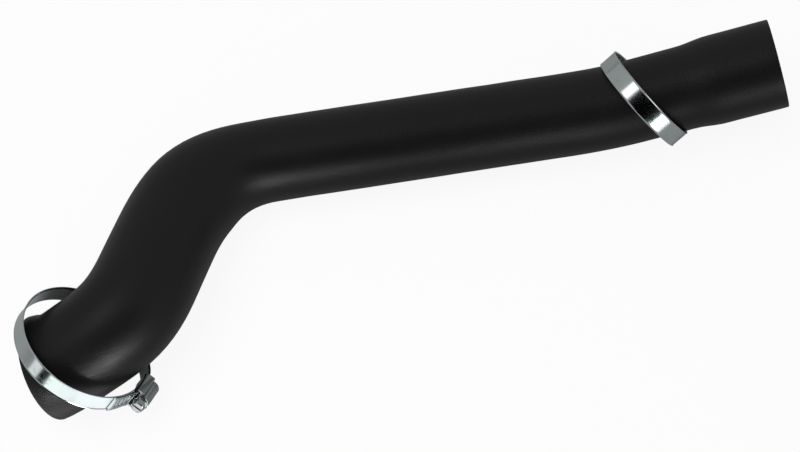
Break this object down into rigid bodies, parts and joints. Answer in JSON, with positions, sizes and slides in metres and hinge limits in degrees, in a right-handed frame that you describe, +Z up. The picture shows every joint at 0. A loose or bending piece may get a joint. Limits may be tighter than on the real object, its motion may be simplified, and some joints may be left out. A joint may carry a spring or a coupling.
{
  "type": "charge air hose",
  "caption": "Moulded rubber charge air hose with an S-shaped bend, a flared cuff and loose worm-drive clamps, lying on a flat surface.",
  "frame": {"origin": "middle of the bounding box seen from above, on the surface that the hose lies on", "axes": "+X along the long straight leg towards the upper mouth, +Z up"},
  "size_m": [0.485, 0.182, 0.0893],
  "materials": {
    "rubber": "matte moulded",
    "band": "bright zinc plated strip",
    "housing": "zinc plated pressing",
    "screw": "zinc plated"
  },
  "bodies": {
    "hose_and_clamps": {"hose": "rubber", "lower_band": "band", "lower_saddle": "housing", "lower_housing": "housing", "upper_band": "band", "upper_saddle": "housing", "upper_housing": "housing"},
    "lower_screw": {"lower_screw": "screw"},
    "upper_screw": {"upper_screw": "screw"}
  },
  "joints": [
    {"name": "lower_screw_turn", "type": "hinge", "parent": "hose_and_clamps", "child": "lower_screw", "pos_m": [-0.17401, -0.07926, 0.02514], "axis": [-0.3634, -0.6774, 0.6395], "continuous": true},
    {"name": "upper_screw_turn", "type": "hinge", "parent": "hose_and_clamps", "child": "upper_screw", "pos_m": [0.16985, 0.06571, 0.00497], "axis": [-0.4533, 0.8914, 0], "continuous": true}
  ]
}
